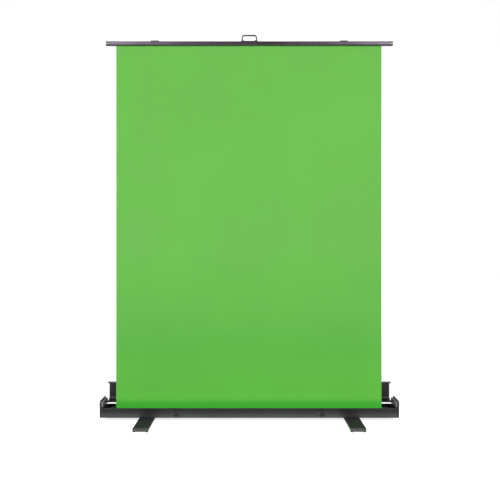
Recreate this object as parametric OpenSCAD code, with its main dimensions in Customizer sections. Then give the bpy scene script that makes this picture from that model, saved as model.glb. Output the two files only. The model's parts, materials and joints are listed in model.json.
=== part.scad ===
// Collapsible backdrop panel: a floor case with swivel feet and a hinged lid.
// The fabric winds on a sprung roller in the case and is held up by a scissor
// frame of two hinged arms each side, lifted by gas springs, under a top bar.
// Frame: X along the case, the front faces -Y, Z up, floor at z = 0.

/* [Case] */
// overall length of the case, over the end cap screws
case_len = 1645; // [1200:5:2200]
// front to back depth of the case
case_dep = 105; // [90:1:140]
// height of the case bottom above the floor
case_z = 21; // [18:1:30]
// height of the front wall
front_h = 54; // [40:1:70]
// height of the rear wall, lower than the front so that the hinge clears it
rear_h = 46; // [35:1:60]
// wall thickness of the case and lid extrusions
wall = 2; // [1.6:0.1:3]
// height of the end caps
cap_h = 93; // [80:1:110]
// thickness of an end cap's outer plate
cap_t = 5; // [3:0.5:8]

/* [Lid] */
// length of the lid, between the end cap plates
lid_len = 1620; // [1200:2:2150]
// height of the closed lid's top face above the floor
lid_top = 117; // [105:1:130]
// corner radius of the lid section
lid_r = 18; // [6:1:24]
// width of one hinge
hinge_w = 60; // [40:2:90]

/* [Screen] */
// width of the fabric
fabric_w = 1480; // [1000:10:2000]
// sideways position of the fabric on its roller
fabric_x = -3; // [-8:1:8]
// thickness of the fabric
fabric_t = 0.5; // [0.3:0.1:1]
// depth position of the fabric's plane
fabric_y = -6.4; // [-15:0.1:0]
// outer radius of the roller tube
roller_r = 14.5; // [12:0.5:20]
// height of the roller's axis
roller_z = 49; // [44:1:55]

/* [Top bar] */
// length of the top bar over its end plugs
bar_len = 1598; // [1200:2:2100]
// height of the top bar's section
bar_h = 22.5; // [20:0.5:36]
// depth of the top bar's section
bar_d = 22; // [16:1:30]
// height of the upper pivots with the screen up
top_z = 2094; // [1500:1:2200]

/* [Scissor frame] */
// half the distance between the two base pivots
piv_x = 526; // [400:1:600]
// height of the base pivots
piv_z = 70; // [66:0.5:74]
// pivot to pivot length of every arm
arm_l = 1135; // [900:1:1300]
// height of an arm's section
arm_h = 27; // [20:1:32]
// thickness of an arm's section
arm_t = 7.5; // [6:0.5:10]
// angle of the arms when the screen is folded away
fold_a = 0.606; // [0.4:0.01:1.5]
// radius of the crank that the gas spring pushes
crank_e = 28; // [22:1:32]

/* [Feet] */
// half the distance between the feet
foot_x = 565; // [400:1:650]
// length of a foot
foot_l = 407; // [300:1:500]
// width of a foot
foot_w = 83; // [60:1:100]

/* [Latches] */
// half the distance between the latches
latch_x = 400; // [200:5:600]

/* [Hidden] */
$fn = 48;
eps = 0.01;
hy = case_dep / 2;                 // half depth of the case
case_hx = case_len / 2 - 1;        // outer face of an end cap plate
tray_hx = case_hx - cap_t;         // end of the case extrusion
tray_top = case_z + front_h;
rear_top = case_z + rear_h;
cap_top = case_z + cap_h;
floor_z = case_z + wall;           // inside floor of the case
// lid hinge axis: the lid closes onto the case over a quarter turn
lid_out_y = 96.5;
lid_high = 185;
hin_y = (lid_high - hy + lid_out_y - lid_top) / 2;
hin_z = lid_high - hy - hin_y;
lid_low = lid_high - case_dep;
lid_tip = 54.8;
hinge_x = [-700, -350, 0, 350, 700];
// roller
rol_y = fabric_y - fabric_t / 2 - 0.35 - (roller_r + 1);
wrap_r = roller_r + 1;
bore_r = 4.05;
// top bar
bar_z = top_z - 1;
bar_y = fabric_y;
bar_hx = bar_len / 2 - 25;
rear_bar = bar_y + bar_d / 2;
// arms
a0 = asin((top_z - piv_z) / (2 * arm_l));
da = a0 - fold_a;
elb_x = piv_x - arm_l * cos(a0);   // elbows, left at -elb_x and right at +elb_x
elb_z = piv_z + arm_l * sin(a0);
ya = 6;                            // front face of each arm's layer
yb = 15;
yc = 28;
yd = 37;
piv_r = 6;
cra = -90 + da / 2;                // crank angle at rest, left side
rod_z = piv_z - crank_e * (1 + cos(da / 2)) / 2;
rod_r = 3.5;
foot_top = 20.2;
pad_h = 5;
foot_r = 10;                       // corner radius of a foot

// ---- helpers ----
// 2D rounded rectangle from its lowest corner, with exact arcs
module rr(x, y, w, h, r) {
  translate([x + r, y]) square([w - 2 * r, h]);
  translate([x, y + r]) square([w, h - 2 * r]);
  for (i = [0, 1], j = [0, 1])
    translate([x + r + i * (w - 2 * r), y + r + j * (h - 2 * r)]) circle(r);
}
// extrude a (Y, Z) section along X, from x0 to x1
module along_x(x0, x1) {
  translate([x0, 0, 0]) rotate([90, 0, 90]) linear_extrude(height = x1 - x0) children();
}
// extrude an (X, Z) outline along Y, from y0 to y1
module along_y(y0, y1) {
  translate([0, y1, 0]) rotate([90, 0, 0]) linear_extrude(height = y1 - y0) children();
}
module cyl_x(x0, x1, y, z, r) { translate([x0, y, z]) rotate([0, 90, 0]) cylinder(r = r, h = x1 - x0); }
module cyl_y(x, y0, y1, z, r) { translate([x, y1, z]) rotate([90, 0, 0]) cylinder(r = r, h = y1 - y0); }
module box(x0, x1, y0, y1, z0, z1) { translate([x0, y0, z0]) cube([x1 - x0, y1 - y0, z1 - z0]); }
// something placed on the arm that starts at (x, z), turned by a from level, in layer y
module on_arm(x, z, a, y) { translate([x, y, z]) rotate([0, -a, 0]) children(); }

// ---- case ----
module tray_section() {
  difference() {
    union() {
      rr(-hy, case_z, case_dep, 30, 4);
      translate([-hy, case_z + 10]) square([wall, front_h - 10]);
      translate([hy - wall, case_z + 10]) square([wall, rear_h - 10]);
      // rolled lip at the top of the front wall
      translate([-hy, tray_top - 2]) square([4, 2]);
    }
    rr(-hy + wall, floor_z, case_dep - 2 * wall, 40, 2.5);
    // shadow groove along the foot of each wall
    translate([-hy - 1, case_z + 5]) square([1.7, 1.3]);
    translate([hy - 0.7, case_z + 5]) square([1.7, 1.3]);
  }
}
module base_tray() color([0.27, 0.27, 0.28]) difference() {
  along_x(-tray_hx, tray_hx) tray_section();
  // scoops for the latches
  for (s = [-1, 1]) cyl_y(s * latch_x, -hy - 1, -hy + 1, tray_top + 12, 25);
  // holes for the foot pivots
  for (s = [-1, 1]) translate([s * foot_x, 0, case_z - 1]) cylinder(r = 8, h = 6);
}
module cap_outline(d) {
  difference() {
    rr(-hy + d, case_z + d, case_dep - 2 * d, cap_h - 2 * d, 18 - d);
    translate([-hy - 1, case_z - 1]) square([case_dep + 2, 24]);
  }
  rr(-hy + d, case_z + d, case_dep - 2 * d, 40, 4);
}
module end_cap(s) color([0.17, 0.17, 0.175]) mirror([s < 0 ? 1 : 0, 0, 0]) difference() {
  union() {
    along_x(tray_hx, case_hx) cap_outline(0);
    // collar that plugs into the case, open towards the inside
    along_x(tray_hx - 14, tray_hx + eps) difference() {
      rr(-hy + wall, floor_z, case_dep - 2 * wall, 42, 2.5);
      rr(-hy + wall + 3, floor_z + 3, case_dep - 2 * wall - 6, 60, 2);
    }
  }
  // shallow panel in the outer face
  along_x(case_hx - 1, case_hx + 1) rr(-hy + 9, case_z + 9, case_dep - 18, cap_h - 18, 11);
  for (p = [[-34, 36], [34, 36], [0, 98]]) cyl_x(case_hx - 3.4, case_hx + 2, p[0], p[1], 2.1);
}
module end_cap_left() { end_cap(-1); }
module end_cap_right() { end_cap(1); }
// grey stepped seat on the inside of a cap that the lid's end closes onto
module cap_liner(s) color([0.55, 0.55, 0.56]) mirror([s < 0 ? 1 : 0, 0, 0]) difference() {
  union() {
    along_x(tray_hx - 3, tray_hx) rr(-46, 68, 92, 41, 12);
    along_x(tray_hx - 12, tray_hx - 3 + eps) rr(-44, 70, 88, 37, 11);
  }
  along_x(tray_hx - 13, tray_hx - 4) rr(-40.5, 60, 81, 43.5, 8);
}
module cap_liner_left() { cap_liner(-1); }
module cap_liner_right() { cap_liner(1); }
module end_cap_screws() color([0.45, 0.45, 0.46]) for (s = [0, 1]) mirror([s, 0, 0])
  for (p = [[-34, 36], [34, 36], [0, 98]]) difference() {
    union() {
      cyl_x(case_hx - 3.2, case_hx - 1, p[0], p[1], 2);
      cyl_x(case_hx - 1, case_hx + 1, p[0], p[1], 4);
    }
    translate([case_hx - 0.4, p[0], p[1]]) rotate([0, 90, 0]) cylinder(r = 2, h = 3, $fn = 6);
  }

// ---- roller mountings, fixed to the case ----
module roller_bracket(s) color([0.5, 0.5, 0.52]) mirror([s < 0 ? 1 : 0, 0, 0]) {
  difference() {
    along_x(762, 766) union() {
      rr(rol_y - 20, floor_z, 40, 34, 3);
      translate([rol_y, roller_z]) circle(20);
    }
    cyl_x(760, 770, rol_y, roller_z, 4);
  }
  box(766 - eps, 784, rol_y - 20, rol_y + 20, floor_z, floor_z + 3);
}
module roller_bracket_left() { roller_bracket(-1); }
module roller_bracket_right() { roller_bracket(1); }
module roller_arbor() color([0.6, 0.6, 0.62]) {
  cyl_x(-772, -250, rol_y, roller_z, 4);
  cyl_x(-772, -766, rol_y, roller_z, 7);
}
module roller_spring() color([0.35, 0.35, 0.37]) difference() {
  cyl_x(-690, -270, rol_y, roller_z, 8.5);
  cyl_x(-691, -269, rol_y, roller_z, 5.5);
  for (i = [0:5]) cyl_x(-640 + i * 60, -638.5 + i * 60, rol_y, roller_z, 7.6);
}
module roller_pin() color([0.6, 0.6, 0.62]) {
  cyl_x(728, 772, rol_y, roller_z, 4);
  cyl_x(766, 772, rol_y, roller_z, 7);
}

// ---- scissor frame mountings, fixed to the case ----
// clevis plates each side of an arm's layer, low enough to pass under the arm above
module arm_bracket(x, y) color([0.22, 0.22, 0.23]) difference() {
  union() for (p = [[y - 4.5, y - 0.5], [y + arm_t + 0.5, y + arm_t + 4]]) {
    along_y(p[0], p[1]) union() {
      translate([x - 20, floor_z]) square([40, 30]);
      polygon([[x - 20, floor_z + 30 - eps], [x + 20, floor_z + 30 - eps],
        [x + 9, piv_z], [x - 9, piv_z]]);
      translate([x, piv_z]) circle(9);
    }
  }
  cyl_y(x, y - 6, y + arm_t + 6, piv_z, piv_r);
}
module arm_bracket_base(x, y) color([0.22, 0.22, 0.23])
  box(x - 20, x + 20, y - 0.5 - eps, y + arm_t + 0.5 + eps, floor_z, floor_z + 3);
module arm_bracket_left() { arm_bracket(-piv_x, ya); arm_bracket_base(-piv_x, ya); }
module arm_bracket_right() { arm_bracket(piv_x, yd); arm_bracket_base(piv_x, yd); }
module base_pivot_bolts() color([0.6, 0.6, 0.62])
  for (p = [[-piv_x, ya], [piv_x, yd]]) {
    cyl_y(p[0], p[1] - 4.5, p[1] + arm_t + 4, piv_z, piv_r);
    cyl_y(p[0], p[1] - 6, p[1] - 4.5, piv_z, 8.5);
  }

// ---- lid hinges ----
module hinge_base_leaves() color([0.2, 0.2, 0.21]) for (x = hinge_x) difference() {
  union() {
    box(x - hinge_w / 2, x + hinge_w / 2, hy, hy + 1.3, case_z + 20, hin_z);
    for (s = [-1, 1]) cyl_x(x + s * 20 - 10, x + s * 20 + 10, hin_y, hin_z, 3);
  }
  cyl_x(x - 31, x + 31, hin_y, hin_z, 1.5);
  box(x - 10, x + 10, hin_y - 4, hin_y + 6, hin_z - 4, hin_z + 4);
}
module hinge_pins() color([0.62, 0.62, 0.64]) for (x = hinge_x)
  cyl_x(x - hinge_w / 2, x + hinge_w / 2, hin_y, hin_z, 1.5);
// leaves under the lid's lower edge, and the bead that carries the line of the hinges between them
module hinge_lid_leaves() color([0.2, 0.2, 0.21]) {
  for (x = hinge_x) difference() {
    union() {
      cyl_x(x - 9.5, x + 9.5, hin_y, hin_z, 3);
      box(x - 9.5, x + 9.5, hin_y, hin_y + 4, lid_low - 1.5, lid_low);
      box(x - hinge_w / 2, x + hinge_w / 2, hin_y + 3.5, lid_tip + 22, lid_low - 1.5, lid_low);
    }
    cyl_x(x - 11, x + 11, hin_y, hin_z, 1.55);
  }
  difference() {
    along_x(-lid_len / 2 + 1, lid_len / 2 - 1) difference() {
      union() {
        translate([hin_y, hin_z]) circle(3.5);
        translate([hin_y - 3.5, hin_z]) square([7, lid_low - hin_z]);
      }
      translate([hin_y, hin_z]) circle(2);
    }
    for (x = hinge_x)
      box(x - hinge_w / 2 - 1, x + hinge_w / 2 + 1, hin_y - 6, hin_y + 6, hin_z - 5, hin_z + 5);
  }
}

// ---- gas springs ----
module gas_cylinder(s, y) color([0.12, 0.12, 0.13]) mirror([s < 0 ? 1 : 0, 0, 0]) difference() {
  union() {
    cyl_x(575, 752, y, rod_z, 8.5);
    cyl_x(573, 575 + eps, y, rod_z, 7);
    cyl_x(752 - eps, 760, y, rod_z, 5);
  }
  cyl_x(570, 740, y, rod_z, rod_r + 0.4);
}
module gas_cylinder_left() { gas_cylinder(-1, ya + arm_t / 2); }
module gas_cylinder_right() { gas_cylinder(1, yd + arm_t / 2); }
module gas_bracket(s, y) color([0.5, 0.5, 0.52]) mirror([s < 0 ? 1 : 0, 0, 0]) {
  box(760, 764, y - 6.5, y + 6.5, floor_z, rod_z + 9);
  box(764 - eps, 784, y - 6.5, y + 6.5, floor_z, floor_z + 3);
}
module gas_bracket_left() { gas_bracket(-1, ya + arm_t / 2); }
module gas_bracket_right() { gas_bracket(1, yd + arm_t / 2); }
// rod with a flat tongue whose upright slot takes the crank pin
module gas_rod(s, y) color([0.75, 0.75, 0.77]) mirror([s < 0 ? 1 : 0, 0, 0])
  translate([piv_x - crank_e * sin(da / 2), y, rod_z]) difference() {
    union() {
      box(-9, 24, -1.45, 1.45, -9, 9);
      cyl_x(22, 130, 0, 0, rod_r);
    }
    along_y(-3, 3) {
      translate([-3.7, -2.6]) square([7.4, 5.2]);
      for (j = [-1, 1]) translate([0, j * 2.6]) circle(3.7);
    }
  }
module gas_rod_left() { gas_rod(-1, ya + arm_t / 2); }
module gas_rod_right() { gas_rod(1, yd + arm_t / 2); }

// ---- latches ----
lat_z = 57.5;    // lever axis
lat_y = -hy - 3.6;
claw_z = lat_z - 8;   // claw axis on the lever
module latch_plates() color([0.25, 0.25, 0.26]) for (s = [-1, 1]) {
  difference() {
    union() {
      box(s * latch_x - 20, s * latch_x + 20, -hy - 0.8, -hy, lat_z - 23, lat_z);
      for (e = [-1, 1]) {
        box(s * latch_x + e * 18 - 1.5, s * latch_x + e * 18 + 1.5, lat_y, -hy, lat_z - 2.4, lat_z + 2.4);
        cyl_x(s * latch_x + e * 18 - 1.5, s * latch_x + e * 18 + 1.5, lat_y, lat_z, 2.4);
      }
    }
    cyl_x(s * latch_x - 21, s * latch_x + 21, lat_y, lat_z, 1.2);
  }
  cyl_x(s * latch_x - 19.5, s * latch_x + 19.5, lat_y, lat_z, 1.2);
}
module latch_lever(x) color([0.1, 0.1, 0.105]) difference() {
  union() {
    for (e = [-1, 1]) {
      box(x + e * 9.5 - 5.5, x + e * 9.5 + 5.5, lat_y - 1.3, lat_y + 1.3, lat_z - 20, lat_z);
      cyl_x(x + e * 9.5 - 5.5, x + e * 9.5 + 5.5, lat_y, lat_z, 2.3);
    }
    box(x - 15, x + 15, lat_y - 1.3, lat_y + 1.3, lat_z - 22.5, lat_z - 20 + eps);
    box(x - 15, x + 15, lat_y - 3, lat_y + 1.3, lat_z - 24, lat_z - 22.5 + eps);
  }
  cyl_x(x - 17, x + 17, lat_y, lat_z, 1.25);
  cyl_x(x - 13, x + 13, lat_y, claw_z, 1);
}
module latch_lever_left() { latch_lever(-latch_x); }
module latch_lever_right() { latch_lever(latch_x); }
module latch_claw(x) color([0.1, 0.1, 0.105]) {
  cyl_x(x - 12.8, x + 12.8, lat_y, claw_z, 0.95);
  cyl_x(x - 3.6, x + 3.6, lat_y, claw_z, 1.8);
  box(x - 3.6, x + 3.6, lat_y - 0.8, lat_y + 0.8, claw_z - 10, claw_z);
}
module latch_claw_left() { latch_claw(-latch_x); }
module latch_claw_right() { latch_claw(latch_x); }

// ---- foot pivots, fixed to the case ----
module foot_pivot_bolts() color([0.6, 0.6, 0.62]) for (s = [-1, 1]) translate([s * foot_x, 0, 0]) {
  difference() {
    union() {
      translate([0, 0, 5.2]) cylinder(r = 13, h = 2.5);
      translate([0, 0, 7]) cylinder(r = 8, h = floor_z + 7 - 7);
    }
    translate([0, 0, 4.2]) cylinder(r = 4, h = 2.5, $fn = 6);
  }
}
module foot_pivot_nuts() color([0.6, 0.6, 0.62]) for (s = [-1, 1]) translate([s * foot_x, 0, floor_z])
  difference() { cylinder(r = 14, h = 6, $fn = 6); translate([0, 0, -1]) cylinder(r = 8, h = 9); }
module foot_washers() color([0.3, 0.3, 0.3]) for (s = [-1, 1]) translate([s * foot_x, 0, case_z - 0.5])
  difference() { cylinder(r = 24, h = 0.5); translate([0, 0, -1]) cylinder(r = 8, h = 3); }

// ---- fabric ----
module fabric_panel() color([0.36, 0.7, 0.26])
  box(fabric_x - fabric_w / 2, fabric_x + fabric_w / 2, fabric_y - fabric_t / 2, fabric_y + fabric_t / 2,
    roller_z, bar_z - bar_h / 2 + 4.5);
module fabric_roll() color([0.3, 0.62, 0.22]) difference() {
  cyl_x(fabric_x - fabric_w / 2, fabric_x + fabric_w / 2, rol_y, roller_z, wrap_r);
  cyl_x(fabric_x - fabric_w / 2 - 1, fabric_x + fabric_w / 2 + 1, rol_y, roller_z, roller_r);
}
module fabric_spline() color([0.8, 0.8, 0.8])
  cyl_x(fabric_x - fabric_w / 2, fabric_x + fabric_w / 2, bar_y, bar_z - bar_h / 2 + 7.5, 2.4);

// ---- roller ----
module roller_tube() color([0.62, 0.62, 0.64]) difference() {
  cyl_x(-748, 748, rol_y, roller_z, roller_r);
  cyl_x(-749, 749, rol_y, roller_z, roller_r - 1.5);
}
module roller_plug(s) color([0.15, 0.15, 0.15]) mirror([s < 0 ? 1 : 0, 0, 0]) difference() {
  union() {
    cyl_x(724, 748 + eps, rol_y, roller_z, roller_r - 1.5);
    cyl_x(748, 757, rol_y, roller_z, 24);
  }
  cyl_x(720, 760, rol_y, roller_z, bore_r);
  // weight-saving dish in the flange
  translate([755, rol_y, roller_z]) rotate([0, 90, 0]) difference() {
    cylinder(r = 21, h = 5);
    translate([0, 0, -1]) cylinder(r = 9, h = 7);
  }
}
module roller_plug_left() { roller_plug(-1); }
module roller_plug_right() { roller_plug(1); }

// ---- lid ----
module lid_outline(d) {
  translate([lid_tip - (d > 0 ? 1 : 0), lid_low + d])
    square([lid_out_y - lid_r - lid_tip + (d > 0 ? 1 : 0), case_dep - 2 * d]);
  translate([lid_tip + 5, lid_low + lid_r])
    square([lid_out_y - d - lid_tip - 5, case_dep - 2 * lid_r]);
  for (z = [lid_low + lid_r, lid_high - lid_r])
    translate([lid_out_y - lid_r, z]) circle(lid_r - d, $fn = 96);
}
module lid_shell() color([0.16, 0.155, 0.16]) along_x(-lid_len / 2, lid_len / 2) difference() {
  lid_outline(0);
  lid_outline(wall);
}
module lid_strikes() color([0.5, 0.5, 0.52]) for (s = [-1, 1]) {
  box(s * latch_x - 16, s * latch_x + 16, lid_tip + 1, lid_tip + 15, lid_high, lid_high + 1.2);
  box(s * latch_x - 12, s * latch_x + 12, lid_tip + 6, lid_tip + 8, lid_high + 1.2 - eps, lid_high + 4);
}
module lid_seal() color([0.06, 0.06, 0.06])
  box(-lid_len / 2 + 2, lid_len / 2 - 2, lid_tip - 1.2, lid_tip, lid_high - 1.9, lid_high - 0.1);

// ---- feet ----
module foot(x) color([0.14, 0.145, 0.145]) translate([x, 0, 0]) difference() {
  translate([0, foot_l / 2 - 12, 0]) rotate([90, 0, 0]) linear_extrude(height = foot_l - 24)
    difference() {
      rr(-foot_w / 2, pad_h, foot_w, foot_top - pad_h, 4);
      // hollow chambers each side of the solid middle
      for (s = [0, 1]) mirror([s, 0]) rr(14.1, pad_h + 1.6, foot_w / 2 - 16.1, foot_top - pad_h - 3.4, 2.5);
      // shallow ribs along the top face
      for (s = [-1, 1]) translate([s * (foot_w / 2 - 7) - 0.6, foot_top - 0.6]) square([1.2, 2]);
    }
  translate([0, 0, pad_h - 1]) cylinder(r = 13.6, h = 4);
  translate([0, 0, pad_h]) cylinder(r = 8.05, h = 30);
}
module foot_caps(x) color([0.3, 0.31, 0.3]) translate([x, 0, 0]) for (s = [0, 1]) mirror([0, s, 0])
  difference() {
    translate([0, 0, pad_h]) linear_extrude(height = foot_top - pad_h) intersection() {
      union() {
        translate([-foot_w / 2, foot_l / 2 - 12]) square([foot_w, 12 - foot_r]);
        translate([-foot_w / 2 + foot_r, foot_l / 2 - 12]) square([foot_w - 2 * foot_r, 12]);
        for (e = [-1, 1]) translate([e * (foot_w / 2 - foot_r), foot_l / 2 - foot_r]) circle(foot_r);
      }
      translate([-foot_w, foot_l / 2 - 12]) square([2 * foot_w, 20]);
    }
    // sloped lip along the end
    translate([-foot_w, foot_l / 2 - 3, foot_top]) rotate([-30, 0, 0]) cube([2 * foot_w, 12, 10]);
  }
module foot_pads(x) color([0.05, 0.05, 0.05]) translate([x, 0, 0])
  for (i = [-1, 1], j = [-1, 1]) translate([i * (foot_w / 2 - 8), j * (foot_l / 2 - 8.5), 0])
    rotate_extrude() union() {
      square([5.7, pad_h]);
      translate([0, 1]) square([6.5, pad_h - 1]);
    }
module foot_left() { foot(-foot_x); }
module foot_right() { foot(foot_x); }
module foot_left_caps() { foot_caps(-foot_x); }
module foot_right_caps() { foot_caps(foot_x); }
module foot_left_pads() { foot_pads(-foot_x); }
module foot_right_pads() { foot_pads(foot_x); }

// ---- arms, drawn level from their lower pivot and then turned ----
// hollow bar between the two end fittings
module arm_bar() color([0.2, 0.2, 0.21]) difference() {
  translate([26, 0, -arm_h / 2]) cube([arm_l - 52, arm_t, arm_h]);
  translate([25, 1.4, -arm_h / 2 + 1.4]) cube([arm_l - 50, arm_t - 2.8, arm_h - 2.8]);
}
// end fitting: eye round the pivot, and a tongue that fills the bar's end
module eye(x, r, s) {
  difference() {
    union() {
      cyl_y(x, 0, arm_t, 0, arm_h / 2);
      box(x + (s > 0 ? 0 : -26), x + (s > 0 ? 26 : 0), 0, arm_t, -arm_h / 2, arm_h / 2);
      box(x + (s > 0 ? 26 : -50), x + (s > 0 ? 50 : -26), 1.4, arm_t - 1.4,
        -arm_h / 2 + 1.4, arm_h / 2 - 1.4);
    }
    cyl_y(x, -1, arm_t + 1, 0, r);
    children();
  }
}
// crank cheeks and their pin, in place, at the foot of a lower arm
module crank(a) {
  difference() {
    union() {
      along_y(0, arm_t) union() {
        circle(arm_h / 2);
        rotate(a) translate([0, -8]) square([crank_e, 16]);
        rotate(a) translate([crank_e, 0]) circle(8);
      }
    }
    along_y(arm_t / 2 - 1.7, arm_t / 2 + 1.7)
      rotate(a) translate([arm_h / 2 + 1, -20]) square([40, 40]);
    cyl_y(0, -1, arm_t + 1, 0, piv_r + 0.05);
  }
  rotate([0, -a, 0]) cyl_y(crank_e, 0, arm_t, 0, 3);
}
module lower_fittings(yo, out) color([0.32, 0.32, 0.33]) {
  translate([-piv_x, yo, piv_z]) {
    crank(cra);
    rotate([0, -a0, 0]) {
      eye(0, piv_r + 0.05, 1);
      // elbow eye and the pivot pin pressed in it; "out" is the side the upper arm is on
      difference() {
        eye(arm_l, 4.99, -1);
        translate([0, out > 0 ? -1 : arm_t - 2.5, 0]) cyl_y(arm_l, 0, 3.5, 0, 8);
      }
      if (out > 0) {
        cyl_y(arm_l, 0, arm_t + 8.8, 0, 5);
        cyl_y(arm_l, 0, 2.5, 0, 8);
        cyl_y(arm_l, arm_t + 6.8, arm_t + 8.8, 0, 8);
      } else {
        cyl_y(arm_l, -8.8, arm_t, 0, 5);
        cyl_y(arm_l, arm_t - 2.5, arm_t, 0, 8);
        cyl_y(arm_l, -8.8, -6.8, 0, 8);
      }
    }
  }
}
module lower_arm_left_fittings() { lower_fittings(ya, 1); }
module lower_arm_right_fittings() { mirror([1, 0, 0]) lower_fittings(yd, -1); }
module lower_arm_left() { on_arm(-piv_x, piv_z, a0, ya) arm_bar(); }
module lower_arm_right() { mirror([1, 0, 0]) on_arm(-piv_x, piv_z, a0, yd) arm_bar(); }
module upper_arm_left() { on_arm(-elb_x, elb_z, 180 - a0, yb) arm_bar(); }
module upper_arm_right() { mirror([1, 0, 0]) on_arm(-elb_x, elb_z, 180 - a0, yc) arm_bar(); }
// front is 1 where the pin's nut sinks into the far face, seen from the lower arm
module upper_fittings(y, front) color([0.32, 0.32, 0.33]) on_arm(-elb_x, elb_z, 180 - a0, y) {
  eye(0, 5.05, 1) translate([0, front > 0 ? 4.9 : -1, 0]) cyl_y(0, 0, 3.6, 0, 8.4);
  eye(arm_l, 5.05, -1) translate([0, 4.9, 0]) cyl_y(arm_l, 0, 3.6, 0, 8.4);
}
module upper_arm_left_fittings() { upper_fittings(yb, 1); }
module upper_arm_right_fittings() { mirror([1, 0, 0]) upper_fittings(yc, -1); }

// ---- top bar ----
module bar_section() translate([bar_y, bar_z]) difference() {
  rr(-bar_d / 2, -bar_h / 2, bar_d, bar_h, 5);
  rr(-bar_d / 2 + 1.6, 1, bar_d - 3.2, bar_h / 2 - 2.6, 3.4);
  translate([0, -bar_h / 2 + 7.5]) circle(2.8);
  translate([-0.8, -bar_h / 2 - 1]) square([1.6, 7]);
  // lightening chambers each side of the spline groove
  for (s = [0, 1]) mirror([s, 0]) rr(4.4, -bar_h / 2 + 3, bar_d / 2 - 6, 7.5, 1.5);
  // groove along the front face
  translate([-bar_d / 2 - 0.5, -1.3]) square([1.3, 2.6]);
}
module top_bar() color([0.28, 0.27, 0.29]) along_x(-bar_hx, bar_hx) bar_section();
module bar_end_plugs() color([0.16, 0.16, 0.165]) for (s = [0, 1]) mirror([s, 0, 0]) difference() {
  along_x(bar_hx, bar_hx + 25) translate([bar_y, bar_z])
    rr(-bar_d / 2 + 0.5, -bar_h / 2 + 0.5, bar_d - 1, bar_h - 1, 4.5);
  box(bar_hx + 4, bar_hx + 26, bar_y - bar_d, bar_y - bar_d / 2 + 4.5, bar_z - 4, bar_z + 4);
}
// saddle over the bar with a boss behind it that carries the upper arm's pivot
module bar_bracket_left() color([0.2, 0.2, 0.21]) {
  box(-piv_x - 21.5, -piv_x + 21.5, bar_y - 8, rear_bar + 4, bar_z + bar_h / 2, bar_z + bar_h / 2 + 4.5);
  box(-piv_x - 21.5, -piv_x + 21.5, rear_bar, rear_bar + 4, top_z - 7, bar_z + bar_h / 2 + eps);
  cyl_y(-piv_x, rear_bar + 4 - eps, yb - 0.5, top_z, 6.5);
  cyl_y(-piv_x, yb - 0.5 - eps, yb + 5.3, top_z, 5);
  cyl_y(-piv_x, yb + 5.3 - eps, yb + arm_t, top_z, 8);
}
module bar_bracket_right() color([0.2, 0.2, 0.21]) {
  box(piv_x - 21.5, piv_x + 21.5, bar_y - 8, yc - 1, bar_z + bar_h / 2, bar_z + bar_h / 2 + 4.5);
  box(piv_x - 21.5, piv_x + 21.5, rear_bar, rear_bar + 4, top_z + 6, bar_z + bar_h / 2 + eps);
  box(piv_x - 12, piv_x + 12, yc - 4.5, yc - 1, top_z - 7, bar_z + bar_h / 2 + eps);
  cyl_y(piv_x, yc - 1 - eps, yc + 5.3, top_z, 5);
  cyl_y(piv_x, yc + 5.3 - eps, yc + arm_t, top_z, 8);
}

// ---- handle ----
han_z = bar_z + bar_h / 2 + 5;   // bail axis
han_top = 2139;                  // centre line of the grip
han_x = 41.5;                    // half width at the axis
han_t = 7.8;                     // lean of each leg
han_r = 10;                      // bend radius
wire_r = 4.2;
// length of each straight leg, and the bend's centre
han_leg = (han_top - han_z - han_r + han_r * sin(han_t)) / cos(han_t);
han_c = han_x - han_leg * sin(han_t) - han_r * cos(han_t);
module handle_bracket() color([0.2, 0.2, 0.21]) difference() {
  union() {
    box(-35, 35, bar_y - 8, bar_y + 8, bar_z + bar_h / 2, bar_z + bar_h / 2 + 2.4);
    for (s = [-1, 1]) {
      box(s * 32.4 - 2.6, s * 32.4 + 2.6, bar_y - 4.4, bar_y + 4.4, bar_z + bar_h / 2, han_z);
      cyl_x(s * 32.4 - 2.6, s * 32.4 + 2.6, bar_y, han_z, 4.4);
    }
  }
  cyl_x(-36, 36, bar_y, han_z, 2.3);
}
module handle_bail() color([0.3, 0.3, 0.31]) translate([0, bar_y, 0]) {
  for (s = [0, 1]) mirror([s, 0, 0]) {
    translate([han_c, 0, han_top - han_r]) rotate([0, -han_t, 0]) {
      rotate([90, 0, 0]) rotate_extrude(angle = 90 - han_t) translate([han_r, 0]) circle(wire_r);
      translate([han_r, 0, -han_leg]) cylinder(r = wire_r, h = han_leg);
      translate([han_r, 0, -han_leg]) sphere(r = wire_r);
    }
    cyl_x(30.5, han_x, 0, han_z, 2.25);
  }
  // sleeve over the grip
  cyl_x(-han_c - 1.5, han_c + 1.5, 0, han_top, wire_r + 0.3);
}

base_tray();
end_cap_left();
end_cap_right();
cap_liner_left();
cap_liner_right();
end_cap_screws();
roller_bracket_left();
roller_bracket_right();
roller_arbor();
roller_spring();
roller_pin();
arm_bracket_left();
arm_bracket_right();
base_pivot_bolts();
hinge_base_leaves();
hinge_pins();
gas_cylinder_left();
gas_cylinder_right();
gas_bracket_left();
gas_bracket_right();
latch_plates();
foot_pivot_bolts();
foot_pivot_nuts();
foot_washers();
fabric_panel();
lid_shell();
hinge_lid_leaves();
lid_strikes();
lid_seal();
roller_tube();
roller_plug_left();
roller_plug_right();
fabric_roll();
foot_left();
foot_left_caps();
foot_left_pads();
foot_right();
foot_right_caps();
foot_right_pads();
lower_arm_left();
lower_arm_left_fittings();
lower_arm_right();
lower_arm_right_fittings();
upper_arm_left();
upper_arm_left_fittings();
upper_arm_right();
upper_arm_right_fittings();
gas_rod_left();
gas_rod_right();
top_bar();
bar_end_plugs();
bar_bracket_left();
bar_bracket_right();
fabric_spline();
handle_bracket();
handle_bail();
latch_lever_left();
latch_lever_right();
latch_claw_left();
latch_claw_right();
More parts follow.
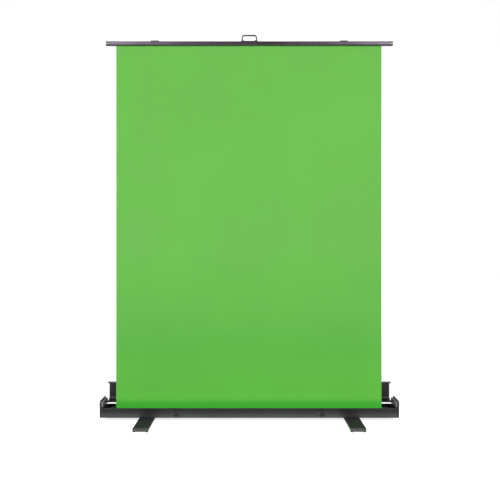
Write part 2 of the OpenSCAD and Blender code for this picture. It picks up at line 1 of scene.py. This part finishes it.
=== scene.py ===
"""Looks for the collapsible backdrop panel.

The solids of the frame get their materials, the plain fabric plate is replaced by a hemmed sheet
with stitches, small fasteners are added, and a white studio is set up round the part.
"""
import bmesh
import bpy
import json
import math
from mathutils import Matrix, Vector, noise


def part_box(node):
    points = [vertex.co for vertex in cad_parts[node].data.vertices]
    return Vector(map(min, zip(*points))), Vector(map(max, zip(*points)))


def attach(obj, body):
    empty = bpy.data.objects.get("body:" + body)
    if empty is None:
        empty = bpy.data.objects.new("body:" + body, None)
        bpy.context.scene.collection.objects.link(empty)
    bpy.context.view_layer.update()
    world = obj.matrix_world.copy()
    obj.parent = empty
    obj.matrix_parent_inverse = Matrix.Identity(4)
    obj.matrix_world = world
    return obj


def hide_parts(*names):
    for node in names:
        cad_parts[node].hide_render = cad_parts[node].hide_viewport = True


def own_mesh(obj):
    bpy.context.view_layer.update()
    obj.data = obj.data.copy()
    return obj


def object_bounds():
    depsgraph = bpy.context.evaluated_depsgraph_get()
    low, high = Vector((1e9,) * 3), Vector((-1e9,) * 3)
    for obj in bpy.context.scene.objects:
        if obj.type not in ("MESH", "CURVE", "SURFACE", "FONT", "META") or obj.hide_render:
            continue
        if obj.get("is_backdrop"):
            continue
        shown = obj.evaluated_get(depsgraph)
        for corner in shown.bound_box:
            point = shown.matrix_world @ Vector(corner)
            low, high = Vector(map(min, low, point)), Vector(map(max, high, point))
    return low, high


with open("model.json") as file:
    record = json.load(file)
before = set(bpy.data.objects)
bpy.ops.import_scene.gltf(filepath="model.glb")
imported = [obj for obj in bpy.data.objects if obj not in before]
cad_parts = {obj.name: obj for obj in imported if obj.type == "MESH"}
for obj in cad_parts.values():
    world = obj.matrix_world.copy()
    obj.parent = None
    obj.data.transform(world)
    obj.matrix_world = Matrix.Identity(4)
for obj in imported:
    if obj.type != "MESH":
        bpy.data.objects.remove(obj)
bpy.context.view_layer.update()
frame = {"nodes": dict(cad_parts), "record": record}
nodes = frame["nodes"]


def box(n):
    """The lower and the upper corner of a node's box."""
    lo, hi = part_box(n)
    return Vector(lo), Vector(hi)


# ---------------------------------------------------------------- materials
def scaled(col, factor, add=0.0):
    return tuple(min(1, c * factor + add) for c in col)


def is_socket(v):
    return hasattr(v, "is_output")


def rgba(v):
    """A grey level or a colour, as a colour with alpha."""
    if hasattr(v, "__len__"):
        return (v[0], v[1], v[2], 1)
    return (v, v, v, 1)


class Nt:
    """A small helper round one material's node tree."""
    def __init__(self, name):
        self.m = bpy.data.materials.new(name)
        self.m.use_nodes = True
        self.t = self.m.node_tree
        self.b = self.t.nodes["Principled BSDF"]

    def n(self, kind, **kw):
        node = self.t.nodes.new(kind)
        for k, v in kw.items():
            setattr(node, k, v)
        return node

    def link(self, a, b):
        self.t.links.new(a, b)

    def coords(self, scale=(1, 1, 1)):
        tc = self.n("ShaderNodeTexCoord")
        mp = self.n("ShaderNodeMapping")
        mp.inputs["Scale"].default_value = scale
        self.link(tc.outputs["Object"], mp.inputs["Vector"])
        return mp.outputs["Vector"]

    def along(self, axis, vec=None):
        """One coordinate of the object, in metres."""
        sep = self.n("ShaderNodeSeparateXYZ")
        self.link(vec or self.coords(), sep.inputs[0])
        return sep.outputs[axis]

    def noise(self, vec, scale, detail=3.0, rough=0.55):
        t = self.n("ShaderNodeTexNoise")
        t.inputs["Scale"].default_value = scale
        t.inputs["Detail"].default_value = detail
        t.inputs["Roughness"].default_value = rough
        self.link(vec, t.inputs["Vector"])
        return t.outputs["Fac"]

    def ramp(self, fac, stops):
        r = self.n("ShaderNodeValToRGB")
        el = r.color_ramp.elements
        while len(el) < len(stops):
            el.new(0.5)
        for e, (position, value) in zip(el, stops):
            e.position = position
            e.color = rgba(value)
        self.link(fac, r.inputs["Fac"])
        return r.outputs["Color"]

    def mix(self, fac, a, b, mode="MIX"):
        x = self.n("ShaderNodeMix", data_type="RGBA", blend_type=mode)
        for name, v in (("Factor", fac), ("A", a), ("B", b)):
            s = [i for i in x.inputs if i.name == name and i.enabled][0]
            if is_socket(v):
                self.link(v, s)
            elif hasattr(v, "__len__"):
                s.default_value = rgba(v)
            else:
                s.default_value = v
        return [o for o in x.outputs if o.enabled][0]

    def math(self, op, a, b=None, clamp=False):
        x = self.n("ShaderNodeMath", operation=op, use_clamp=clamp)
        for i, v in enumerate([a, b]):
            if v is None:
                continue
            if is_socket(v):
                self.link(v, x.inputs[i])
            else:
                x.inputs[i].default_value = v
        return x.outputs[0]

    def times(self, a, b, clamp=False):
        return self.math("MULTIPLY", a, b, clamp)

    def plus(self, a, b, clamp=False):
        return self.math("ADD", a, b, clamp)

    def colour(self, value):
        self.link(value, self.b.inputs["Base Color"])

    def roughness(self, value):
        self.link(value, self.b.inputs["Roughness"])

    def bump(self, height, strength, distance):
        b = self.n("ShaderNodeBump")
        b.inputs["Strength"].default_value = strength
        b.inputs["Distance"].default_value = distance
        self.link(height, b.inputs["Height"])
        self.link(b.outputs["Normal"], self.b.inputs["Normal"])

    def set(self, **kw):
        for k, v in kw.items():
            self.b.inputs[k.replace("_", " ")].default_value = v


def linear(v):
    """One sRGB channel, 0 to 255, as a linear value."""
    if v <= 10:
        return (v / 255) / 12.92
    return (((v / 255) + 0.055) / 1.055) ** 2.4


def srgb(r, g, b):
    return (linear(r), linear(g), linear(b))


CASE_RAMP = 8.0             # one over the height that the case's painted shade ramp spans, 1/m
DUST = (0.5, 0.49, 0.46)


def anodised(name, col, rough=0.38, metallic=0.75, along="X", shade=None):
    """Satin anodised extrusion: fine die lines along its length, soft colour drift, a little dust."""
    k = Nt(name)
    scale = {"X": (1.2, 520, 520), "Y": (520, 1.2, 520), "Z": (520, 520, 1.2)}[along]
    lines = k.noise(k.coords(scale), 1.0, 4.0, 0.6)
    cloud = k.noise(k.coords(), 7.0, 3.0)
    fine = k.noise(k.coords(), 900.0, 2.0)
    base = k.ramp(cloud, [(0.3, scaled(col, 0.84)), (0.72, scaled(col, 1.16))])
    base = k.mix(k.times(lines, 0.35), base, scaled(col, 1.35))
    speck = k.ramp(k.noise(k.coords(), 260.0, 2.0), [(0.70, 0.0), (0.82, 1.0)])
    base = k.mix(k.times(speck, 0.04), base, DUST)
    # painted shade and painted reflection: the colour is multiplied by a ramp over height
    if shade:
        high = k.times(k.along("Z"), CASE_RAMP, clamp=True)
        stops = [(z * CASE_RAMP, v) for z, v in shade]
        base = k.mix(1.0, base, k.ramp(high, stops), "MULTIPLY")
    k.colour(base)
    r = k.plus(k.times(lines, 0.16), rough - 0.10)
    k.roughness(k.plus(k.times(cloud, 0.06), r, clamp=True))
    k.set(Metallic=metallic)
    k.bump(k.plus(k.times(lines, 0.8), k.times(fine, 0.2)), 0.22, 0.0004)
    return k.m


def moulded(name, col, rough=0.55, grain=1500.0, strength=0.3):
    """Moulded plastic with a fine spark-eroded grain and faint flow marks."""
    k = Nt(name)
    g = k.noise(k.coords(), grain, 2.0, 0.6)
    cloud = k.noise(k.coords(), 14.0, 4.0)
    base = k.ramp(cloud, [(0.3, scaled(col, 0.86)), (0.75, scaled(col, 1.16))])
    scuff = k.ramp(k.noise(k.coords((60, 60, 600)), 1.0, 5.0, 0.7), [(0.68, 0.0), (0.86, 1.0)])
    k.colour(k.mix(k.times(scuff, 0.16), base, scaled(col, 1.9, 0.03)))
    k.roughness(k.plus(k.times(g, 0.18), rough - 0.09, clamp=True))
    k.bump(g, strength, 0.0003)
    return k.m


def coated(name, col, rough=0.42):
    """Powder coat: fine orange peel, slightly brighter where it has rubbed."""
    k = Nt(name)
    peel = k.noise(k.coords(), 700.0, 2.0)
    wear = k.ramp(k.noise(k.coords(), 45.0, 6.0, 0.7), [(0.62, 0.0), (0.82, 1.0)])
    cloud = k.noise(k.coords(), 18.0, 3.0)
    base = k.ramp(cloud, [(0.3, scaled(col, 0.85)), (0.75, scaled(col, 1.2))])
    k.colour(k.mix(k.times(wear, 0.3), base, scaled(col, 1.8, 0.02)))
    k.roughness(k.plus(k.times(peel, 0.14), rough - 0.07, clamp=True))
    k.set(Metallic=0.15, Coat_Weight=0.15, Coat_Roughness=0.35)
    k.bump(peel, 0.25, 0.0003)
    return k.m


def plated(name, col, rough=0.3, blotch=0.12):
    """Zinc or chrome plate with turning marks and a faint uneven bloom."""
    k = Nt(name)
    marks = k.noise(k.coords((900, 40, 40)), 1.0, 3.0)
    bloom = k.noise(k.coords(), 60.0, 4.0, 0.65)
    k.colour(k.ramp(bloom, [(0.3, scaled(col, 1 - blotch)), (0.7, scaled(col, 1 + blotch))]))
    r = k.plus(k.times(bloom, 0.22), rough - 0.11)
    k.roughness(k.plus(k.times(marks, 0.06), r, clamp=True))
    k.set(Metallic=1.0)
    k.bump(marks, 0.12, 0.0002)
    return k.m


def rubbery(name, col=(0.02, 0.02, 0.02)):
    """Matt black rubber with dust in its grain."""
    k = Nt(name)
    g = k.noise(k.coords(), 800.0, 3.0, 0.7)
    dust = k.ramp(k.noise(k.coords(), 90.0, 5.0, 0.7), [(0.55, 0.0), (0.85, 1.0)])
    k.colour(k.mix(k.times(dust, 0.35), col, (0.13, 0.125, 0.12)))
    k.roughness(k.plus(k.times(g, 0.15), 0.72, clamp=True))
    k.bump(g, 0.4, 0.0004)
    return k.m


CLOTH_TOP = 2.2             # height that the cloth's colour ramp, with its painted light and shade, spans, m


def woven(name, stops):
    """Matt woven polyester: fine plain weave, slubs, faint sheen, and a colour ramp over height that
    paints in light and shade, with painted shade deepest towards the case.
    """
    k = Nt(name)
    v = k.coords()
    threads = []
    for direction in ("X", "Z"):
        w = k.n("ShaderNodeTexWave", wave_type="BANDS", bands_direction=direction)
        w.inputs["Scale"].default_value = 420.0
        w.inputs["Distortion"].default_value = 1.2
        w.inputs["Detail"].default_value = 1.0
        w.inputs["Detail Scale"].default_value = 0.4
        k.link(v, w.inputs["Vector"])
        threads.append(w.outputs["Fac"])
    weave = k.times(*threads)
    cloud = k.ramp(k.noise(k.coords((1.0, 1.0, 0.7)), 2.2, 4.0), [(0.3, 0.0), (0.75, 1.0)])
    slub = k.noise(k.coords((6, 6, 160)), 1.0, 3.0)
    # painted light and shade: the cloth's colour comes from a ramp over height
    high = k.times(k.along("Z", v), 1.0 / CLOTH_TOP, clamp=True)
    base = k.ramp(high, [(z / CLOTH_TOP, c) for z, c in stops])
    base = k.mix(k.times(cloud, 0.07), base, (1.0, 1.0, 1.0), "OVERLAY")
    base = k.mix(k.times(slub, 0.06), base, (1.25, 1.25, 1.25), "MULTIPLY")
    k.colour(k.mix(k.times(weave, 0.14), base, (0.72, 0.72, 0.72), "MULTIPLY"))
    k.set(Roughness=0.92, Sheen_Weight=0.10, Sheen_Roughness=0.5, Specular_IOR_Level=0.15)
    k.bump(k.plus(weave, k.times(slub, 0.3)), 0.25, 0.0003)
    return k.m


def tone(r, g, b, k=1.0):
    """A colour as seen, light and shade included, times a factor that paints in more or less light at
    that height.
    """
    return tuple(c * k for c in srgb(r, g, b))


# height above the floor, and the cloth's colour there: colours as seen, light and shade included, scaled
# per height, with painted shade darkening the cloth just above the case
CLOTH_PAINTED_LIGHT = [
    (0.070, tone(58, 162, 46, 1.24)),
    (0.090, tone(64, 165, 48, 1.0)),
    (0.113, tone(94, 180, 65, 0.83)),
    (0.16, tone(94, 181, 64, 0.72)),
    (0.38, tone(97, 183, 70, 0.65)),
    (0.66, tone(106, 187, 77, 0.64)),
    (0.95, tone(112, 192, 82, 0.61)),
    (2.05, tone(111, 192, 80, 0.545)),
]
# height above the floor, and the factor on the case's colour there: painted shade darkest just under the
# top edge, lighter towards the floor as a painted reflection of the white floor
CASE_PAINTED_SHADE = [(0.028, 1.02), (0.041, 0.70), (0.052, 0.37), (0.064, 0.17), (0.075, 0.44)]

M = {
    "case_extrusion": anodised("case_extrusion", srgb(62, 62, 64), 0.40, 0.55, shade=CASE_PAINTED_SHADE),
    "lid_extrusion": anodised("lid_extrusion", srgb(40, 38, 40), 0.50, 0.35),
    "bar_extrusion": anodised("bar_extrusion", srgb(72, 66, 74), 0.34, 0.85),
    "foot_extrusion": anodised("foot_extrusion", srgb(28, 28, 28), 0.70, 0.0, "Y"),
    "arm_extrusion": anodised("arm_extrusion", srgb(66, 66, 68), 0.4, 0.7, "Z"),
    "roller_aluminium": anodised("roller_aluminium", srgb(190, 190, 192), 0.35, 0.9),
    "arm_casting": coated("arm_casting", srgb(76, 76, 78), 0.5),
    "liner_grey": anodised("liner_grey", srgb(96, 96, 98), 0.45, 0.4, "Y"),
    "cap_plastic": moulded("cap_plastic", srgb(33, 33, 34), 0.5),
    "foot_cap_plastic": moulded("foot_cap_plastic", srgb(58, 60, 58), 0.5),
    "spline_plastic": moulded("spline_plastic", srgb(190, 190, 186), 0.5),
    "zinc_steel": plated("zinc_steel", srgb(176, 178, 182), 0.32),
    "spring_steel": plated("spring_steel", srgb(96, 98, 102), 0.35),
    "rod_chrome": plated("rod_chrome", srgb(214, 216, 220), 0.14, 0.03),
    "dark_steel": coated("dark_steel", srgb(48, 48, 50), 0.45),
    "gas_spring_black": coated("gas_spring_black", srgb(26, 26, 28), 0.28),
    "latch_black": coated("latch_black", srgb(9, 9, 10), 0.6),
    "seal_rubber": rubbery("seal_rubber"),
    "pad_rubber": rubbery("pad_rubber", (0.010, 0.010, 0.010)),
    "green_fabric": woven("green_fabric", CLOTH_PAINTED_LIGHT),
}
thread = moulded("hem_thread", tone(98, 178, 70), 0.8, 3000.0, 0.5)
handle_wire = coated("handle_wire", srgb(66, 66, 68), 0.38)
# painted shadow: near-black for the sheets that stand for the shade in the latch scoops
scoop_shadow_black = moulded("scoop_shadow_black", srgb(9, 9, 10), 0.7)
latch_plate = anodised("latch_plate", srgb(56, 56, 58), 0.40, 0.3, "Z")

slot_of = {s["node"]: s["material_slot"] for s in frame["record"]["subparts"]}
own_material = {"handle_bail": handle_wire, "latch_plates": latch_plate}
for name, ob in nodes.items():
    for s in ob.material_slots:
        s.material = own_material.get(name, M[slot_of[name]])


# ---------------------------------------------------------------- mesh helpers
def make(name, bm, material, body=None, sharp=0.6):
    """A shaded object from a bmesh; edges sharper than `sharp` radians stay crisp."""
    me = bpy.data.meshes.new(name)
    bmesh.ops.recalc_face_normals(bm, faces=bm.faces)
    for f in bm.faces:
        f.smooth = True
    for e in bm.edges:
        if len(e.link_faces) == 2 and e.calc_face_angle(0) > sharp:
            e.smooth = False
    bm.to_mesh(me)
    bm.free()
    ob = bpy.data.objects.new(name, me)
    bpy.context.scene.collection.objects.link(ob)
    me.materials.append(material)
    if body:
        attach(ob, body)
    return ob


def loft(bm, rings):
    """A closed skin along a row of rings, with a face at each end."""
    count = len(rings[0])
    for a, b in zip(rings, rings[1:]):
        for i in range(count):
            j = (i + 1) % count
            bm.faces.new((a[i], a[j], b[j], b[i]))
    bm.faces.new(list(reversed(rings[0])))
    bm.faces.new(rings[-1])


def clamp01(v):
    return min(1.0, max(0.0, v))


# ---------------------------------------------------------------- fabric
f_lo, f_hi = box("fabric_panel")
bar_lo, bar_hi = box("top_bar")
FW = f_hi.x - f_lo.x
FX = (f_lo.x + f_hi.x) / 2
FY = (f_lo.y + f_hi.y) / 2
Z0, Z1 = f_lo.z, f_hi.z
HEM = 0.014                 # width of the turned side hem
FREE = 0.30                 # below this height the cloth lies flat on its way to the roller
FLAT = 1.80                 # above this one it is flat, to go into the bar's groove when folded
FADE = 0.30                 # height over which the waves grow from flat
COLUMNS, ROWS = 86, 120
CLOTH_HALF = 0.00028        # half the thickness of the cloth
EDGE_HALF = 0.0003          # the same at the folded edge of the hem
PRESSED_HALF = 0.00042      # and of the hem where it is pressed thin
HEM_SWELL = 0.0003


def hem_half(z):
    """Half the thickness of the turned hem, pressed thin near the roller and the bar."""
    up = clamp01((FLAT - z) / 0.08)
    down = clamp01((z - 0.25) / 0.08)
    return PRESSED_HALF + HEM_SWELL * min(up, down)


def wave(x, z):
    """How far the cloth stands off its plane: tension waves that die out at the roller and at the bar."""
    t = (z - Z0) / (Z1 - Z0)
    free = clamp01((z - FREE) / FADE) * clamp01((FLAT - z) / FADE)
    free = free * free * (3 - 2 * free)
    v = 0.0009 * math.sin(9.1 * x + 0.7) * (0.4 + 0.6 * math.sin(math.pi * t))
    v += 0.0007 * math.sin(17.0 * x + 2.1 * t + 1.3)
    v += 0.0006 * noise.noise(Vector((x * 3.1, 0.0, z * 1.3)))
    # the side edges curl back very slightly between the bar and the case
    e = max(0.0, (abs(x - FX) - (FW / 2 - 0.10)) / 0.10)
    v += 0.0016 * e * e * math.sin(math.pi * t)
    return v * free


def cloth():
    """The sheet, two skins apart by its thickness, thicker along the side hems."""
    inner = FW / 2 - HEM
    xs = [-FW / 2, -FW / 2 + HEM * 0.12, -FW / 2 + HEM * 0.5, -FW / 2 + HEM * 0.88]
    xs += [-inner + 2 * inner * i / COLUMNS for i in range(COLUMNS + 1)]
    xs += [FW / 2 - HEM * 0.88, FW / 2 - HEM * 0.5, FW / 2 - HEM * 0.12, FW / 2]
    zs = [Z0 + (Z1 - Z0) * j / ROWS for j in range(ROWS + 1)]
    bm = bmesh.new()
    front, back = [], []
    for z in zs:
        front_row, back_row = [], []
        for x in xs:
            half = CLOTH_HALF
            if abs(abs(x) - FW / 2) < 1e-6:
                half = EDGE_HALF
            elif abs(x) > inner + 1e-6:
                half = hem_half(z)
            y = FY + wave(FX + x, z)
            front_row.append(bm.verts.new((FX + x, y - half, z)))
            back_row.append(bm.verts.new((FX + x, y + half, z)))
        front.append(front_row)
        back.append(back_row)
    last = len(xs) - 1
    for j in range(ROWS):
        for i in range(last):
            bm.faces.new((front[j][i], front[j][i + 1], front[j + 1][i + 1], front[j + 1][i]))
            bm.faces.new((back[j][i], back[j + 1][i], back[j + 1][i + 1], back[j][i + 1]))
        bm.faces.new((front[j][0], front[j + 1][0], back[j + 1][0], back[j][0]))
        bm.faces.new((front[j][last], back[j][last], back[j + 1][last], front[j + 1][last]))
    for i in range(last):
        bm.faces.new((front[0][i], back[0][i], back[0][i + 1], front[0][i + 1]))
        bm.faces.new((front[-1][i], front[-1][i + 1], back[-1][i + 1], back[-1][i]))
    return make("screen_fabric", bm, M["green_fabric"], sharp=1.2)


def stitches():
    """Lock stitches along both side hems: all the way behind, from FREE up in front."""
    bm = bmesh.new()
    pitch, length, w, h = 0.0042, 0.0030, 0.00030, 0.00022
    z = 0.125
    while z < bar_lo.z - 0.006:
        for sx in (-1, 1):
            x = FX + sx * (FW / 2 - HEM * 0.80)
            for side in (-1, 1):
                if side < 0 and z < FREE:
                    continue
                y = FY + wave(x, z) + side * (hem_half(z) + 0.00003)
                rings = []
                for zz, q in ((z - length / 2, 0.45), (z, 1.0), (z + length / 2, 0.45)):
                    rings.append([bm.verts.new((x + w * q * a, y + side * h * q * b, zz))
                                  for a, b in ((-1, 0), (0, 1), (1, 0), (0, -1))])
                loft(bm, rings)
        z += pitch
    return make("hem_stitches", bm, thread)


cloth_ob = cloth()
stitch_ob = stitches()
for o in (cloth_ob, stitch_ob):
    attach(o, "base")
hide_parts("fabric_panel")
for o in (cloth_ob, stitch_ob):
    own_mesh(o)


# ---------------------------------------------------------------- small fasteners
def screw(bm, at, axis, r, h, recess=True, seg=20):
    """A pan head, with or without a hexagon recess, standing at `at` along axis."""
    turn = Vector(axis).normalized().to_track_quat("Z", "Y").to_matrix().to_4x4()
    mat = Matrix.Translation(Vector(at)) @ turn
    angles = [2 * math.pi * i / seg for i in range(seg)]

    def ring(radius, z):
        return [bm.verts.new(mat @ Vector((radius(a) * math.cos(a), radius(a) * math.sin(a), z)))
                for a in angles]

    def hexagon(a):
        """How far a hexagon reaches at this angle, where its flats are 1 from the middle."""
        return 1 / math.cos((a + math.pi / 6) % (math.pi / 3) - math.pi / 6)

    rings = []
    for share, z in ((1, 0.0), (1, h * 0.45), (0.93, h * 0.75), (0.78, h * 0.94), (0.56, h)):
        rings.append(ring(lambda a: r * share, z))
    if recess:
        for share, z in ((0.46, h), (0.4232, h * 0.35)):
            rings.append(ring(lambda a: r * share * hexagon(a), z))
    loft(bm, rings)


def screws(name, body, spots, axis, r, h, material="zinc_steel", recess=True):
    bm = bmesh.new()
    for p in spots:
        screw(bm, p, axis, r, h, recess)
    return make(name, bm, M[material], body, 0.5)


UP, DOWN, FRONT, REAR = (0, 0, 1), (0, 0, -1), (0, -1, 0), (0, 1, 0)
case_front = box("base_tray")[0].y
CASE_TOP = 0.075            # top edge of the front wall
HINGE_X = [-0.7, -0.35, 0.0, 0.35, 0.7]
HINGE_HOLES = (-0.022, 0, 0.022)
LATCH_X = 0.4
BRACKET_X = 0.526           # the arms' brackets on the bar
BAR_SCREW_Y = -0.0064
FOOT_SCREW_Y = 0.180

hinge_screw_x = [x + dx for x in HINGE_X for dx in HINGE_HOLES]
screws("hinge_base_screws", "base", [(x, 0.0537, 0.052) for x in hinge_screw_x],
       REAR, 0.0031, 0.0012, "dark_steel")
leaf_z = box("lid_shell")[0].z - 0.0014
screws("hinge_lid_screws", "lid", [(x, 0.0675, leaf_z) for x in hinge_screw_x],
       DOWN, 0.0031, 0.0012, "dark_steel")
bracket_top = box("bar_bracket_left")[1].z
screws("bar_bracket_screws", "top_bar",
       [(s * BRACKET_X + dx, BAR_SCREW_Y, bracket_top) for s in (-1, 1) for dx in (-0.014, 0.014)],
       UP, 0.0034, 0.0016)
screws("handle_bracket_screws", "top_bar",
       [(x, BAR_SCREW_Y, bar_hi.z + 0.0024) for x in (-0.018, 0.018)],
       UP, 0.0034, 0.0015)


def latch_scoop_shadow_sheets():
    """A thin black sheet in the round scoop of the front wall above each latch: a painted shadow under
    the scoop's lip.
    """
    bm = bmesh.new()
    r, cz, top = 0.0247, CASE_TOP + 0.012, CASE_TOP - 0.0003
    half = math.acos((cz - top) / r)
    angles = [half * (i / 12 - 1) for i in range(25)]
    for s in (-1, 1):
        arc = [(s * LATCH_X + r * math.sin(a), cz - r * math.cos(a)) for a in angles]
        loft(bm, [[bm.verts.new((x, y, z)) for x, z in arc]
                  for y in (case_front + 0.0002, case_front + 0.0009)])
    make("latch_scoop_shadow_sheets", bm, scoop_shadow_black, "base", 0.5)


def bar_plug_inserts():
    """A pale rounded insert in the slot of each end plug of the bar."""
    bm = bmesh.new()
    plug_lo, plug_hi = box("bar_end_plugs")
    mid_z = (plug_lo.z + plug_hi.z) / 2 - 0.0012
    half = 0.0024
    back_y = plug_lo.y + 0.0048
    prof = [(plug_lo.y + 0.0012 + 0.0015 * (1 - math.sin(a)), mid_z + half * math.cos(a))
            for a in [math.pi * i / 12 for i in range(13)]]
    prof += [(back_y, mid_z - half), (back_y, mid_z + half)]
    for s in (-1, 1):
        loft(bm, [[bm.verts.new((s * x, y, z)) for y, z in prof]
                  for x in (bar_hi.x + 0.0045, plug_hi.x - 0.0005)])
    make("bar_plug_inserts", bm, M["spline_plastic"], "top_bar", 0.5)


latch_scoop_shadow_sheets()
bar_plug_inserts()
screws("latch_rivets", "base",
       [(s * LATCH_X + dx, -0.0533, 0.0385) for s in (-1, 1) for dx in (-0.0175, 0.0175)],
       FRONT, 0.0018, 0.0007, "dark_steel", False)
foot_top = box("foot_left")[1].z
for foot in ("foot_left", "foot_right"):
    lo, hi = box(foot)
    cx = (lo.x + hi.x) / 2
    screws(foot + "_screws", foot,
           [(cx + dx, e * FOOT_SCREW_Y, foot_top - 0.0007) for dx in (-0.022, 0.022) for e in (-1, 1)],
           UP, 0.0030, 0.0010, "dark_steel")


# ---------------------------------------------------------------- stage, camera, light
def studio_floor():
    """A white floor that curves up into a wall behind the part, glowing most right round the part as
    painted light.
    """
    near_y, far_y, wall_top, side = -9.0, 4.5, 7.5, 11.0
    bend = 1.6
    pts = [(near_y, 0.0), (far_y, 0.0)]
    for i in range(1, 17):
        a = math.pi / 2 * i / 16
        pts.append((far_y + bend * math.sin(a), bend - bend * math.cos(a)))
    pts.append((far_y + bend, wall_top))
    bm = bmesh.new()
    rows = [[bm.verts.new((x, y, z)) for x in (-side, side)] for y, z in pts]
    for a, b in zip(rows, rows[1:]):
        f = bm.faces.new((a[0], a[1], b[1], b[0]))
        f.smooth = True
    me = bpy.data.meshes.new("floor")
    bm.to_mesh(me)
    bm.free()
    floor = bpy.data.objects.new("studio_floor", me)
    bpy.context.scene.collection.objects.link(floor)
    floor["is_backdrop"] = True

    k = Nt("studio_white")
    cloudy = k.ramp(k.noise(k.coords(), 0.8, 3.0), [(0.3, 0.97), (0.7, 1.0)])
    # painted light: the floor glows, most right round the part where it fills the shadow under the case;
    # its colour and glow change with distance from the part
    near = k.times(k.math("ABSOLUTE", k.along("Y")), 1.0, clamp=True)
    k.colour(k.mix(1.0, cloudy, k.ramp(near, [(0.3, 0.92), (1.0, 0.5)]), "MULTIPLY"))
    painted_glow = k.ramp(near, [(0.08, 0.70), (0.30, 0.34), (1.0, 0.66)])
    k.link(painted_glow, k.b.inputs["Emission Color"])
    k.set(Roughness=0.9, Specular_IOR_Level=0.1, Emission_Strength=1.0)
    me.materials.append(k.m)


def area(name, loc, aim, size, energy):
    lamp = bpy.data.lights.new(name, "AREA")
    lamp.shape = "RECTANGLE"
    lamp.size, lamp.size_y = size
    lamp.energy = energy
    o = bpy.data.objects.new(name, lamp)
    o.location = loc
    o.rotation_euler = (Vector(aim) - Vector(loc)).to_track_quat("-Z", "Y").to_euler()
    bpy.context.scene.collection.objects.link(o)


def studio_sky():
    """A white surround, dark on the camera's side and weaker overhead."""
    w = bpy.data.worlds.new("studio")
    w.use_nodes = True
    t = w.node_tree
    background = t.nodes["Background"]
    direction = t.nodes.new("ShaderNodeTexCoord")
    split = t.nodes.new("ShaderNodeSeparateXYZ")
    t.links.new(direction.outputs["Generated"], split.inputs[0])

    depth = t.nodes.new("ShaderNodeMapRange")
    depth.inputs["From Min"].default_value = -1.0
    depth.inputs["From Max"].default_value = 1.0
    t.links.new(split.outputs["Y"], depth.inputs["Value"])
    shade = t.nodes.new("ShaderNodeValToRGB")
    stops = shade.color_ramp.elements
    stops[0].position = 0.03
    stops[0].color = (0.16, 0.16, 0.165, 1)
    stops[1].position = 0.42
    stops[1].color = (1, 1, 1, 1)
    t.links.new(depth.outputs["Result"], shade.inputs["Fac"])
    t.links.new(shade.outputs["Color"], background.inputs["Color"])

    strength = t.nodes.new("ShaderNodeMapRange")
    strength.inputs["From Min"].default_value = 0.15
    strength.inputs["From Max"].default_value = 0.95
    strength.inputs["To Min"].default_value = 0.85
    strength.inputs["To Max"].default_value = 0.35
    t.links.new(split.outputs["Z"], strength.inputs["Value"])
    t.links.new(strength.outputs["Result"], background.inputs["Strength"])
    bpy.context.scene.world = w


studio_floor()

camera = bpy.data.cameras.new("camera")
camera.sensor_width = 36
camera.lens = 34.15
camera.shift_x = 0.0012
camera.shift_y = -0.0026
camera_ob = bpy.data.objects.new("camera", camera)
camera_ob.location = (0.0, -2.6525, 0.95)
camera_ob.rotation_euler = (math.pi / 2, 0, 0)
bpy.context.scene.collection.objects.link(camera_ob)
bpy.context.scene.camera = camera_ob

HIGH_SHARE = 0.42           # each high light's power as a share of the side light under it
for s, power in ((-1, 94), (1, 90)):
    area("side_%d" % s, (2.5 * s, -3.3, 2.7), (0, 0, 1.5), (1.2, 2.4), power)
    area("high_%d" % s, (1.9 * s, -2.8, 3.9), (0, 0, 1.2), (1.6, 1.0), HIGH_SHARE * power)
area("back_wash", (0, 3.4, 4.4), (0, 6.0, 2.4), (7.0, 1.2), 70)
studio_sky()
bpy.context.scene.view_settings.view_transform = "Standard"

lo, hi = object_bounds()
